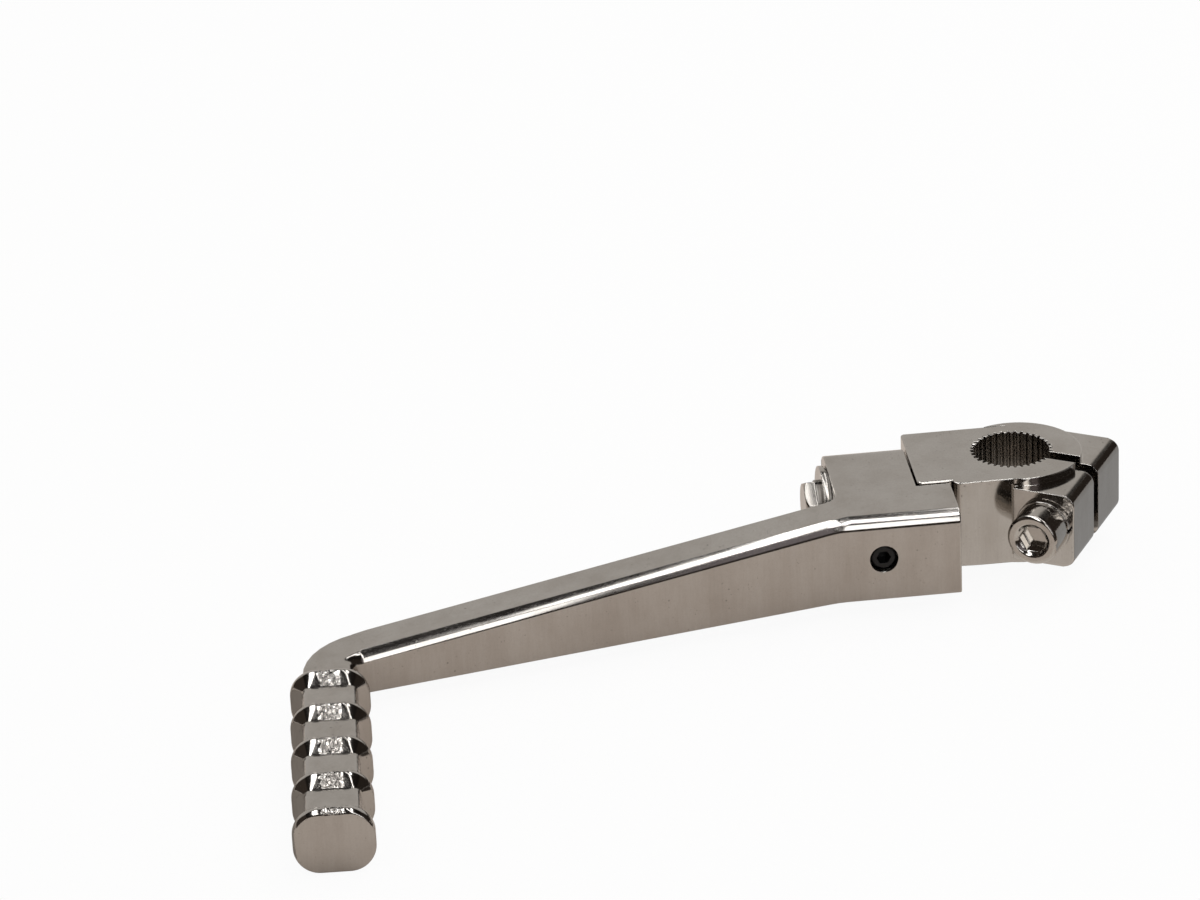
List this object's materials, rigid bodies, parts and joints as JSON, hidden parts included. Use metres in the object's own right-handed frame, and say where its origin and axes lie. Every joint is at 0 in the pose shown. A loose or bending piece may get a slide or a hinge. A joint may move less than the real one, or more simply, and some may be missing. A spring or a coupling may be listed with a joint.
{
  "type": "kick start lever",
  "caption": "Folding kick start lever: splined clamp hub, pivoting tapered arm with a ridged foot peg, spring ball detent and pinch bolt.",
  "frame": {"origin": "where the kick shaft axis crosses the pivot axis, at the middle of the hub's height", "axes": "+Z along the kick shaft towards the face that shows the spline, -X along the pivot towards the foot peg, -Y the way the folded peg points"},
  "size_m": [0.1712, 0.1146, 0.0216],
  "materials": {
    "plated_hub": "polished bright plating with a light haze",
    "plated_lever": "polished bright plating with a light haze, pitted on the ridges",
    "bearing_steel": "polished",
    "spring_steel": "drawn wire",
    "black_oxide": "black oxide, oiled",
    "dark_washer": "dull steel",
    "plated_washer": "bright plating",
    "plated_bolt": "bright plating"
  },
  "bodies": {
    "knuckle": {"hub": "plated_hub", "thrust_washer": "dark_washer", "pivot_washer": "plated_washer", "pivot_lock_washer": "dark_washer", "pivot_bolt": "plated_bolt", "pinch_bolt": "plated_bolt", "pinch_lock_washer": "plated_washer"},
    "lever": {"lever_arm": "plated_lever", "detent_spring": "spring_steel", "set_screw": "black_oxide"},
    "ball": {"detent_ball": "bearing_steel"}
  },
  "joints": [
    {"name": "lever_fold", "type": "hinge", "parent": "knuckle", "child": "lever", "pos_m": [-0.029, 0, 0], "axis": [1, 0, 0], "range_deg": [0, 90]},
    {"name": "ball_travel", "type": "slide", "parent": "lever", "child": "ball", "axis": [0, -1, 0], "range_m": [-0.0003, 0.0004], "stiffness_N_per_m": 1000, "springref_m": -0.0003, "deforming": ["detent_spring"]}
  ]
}
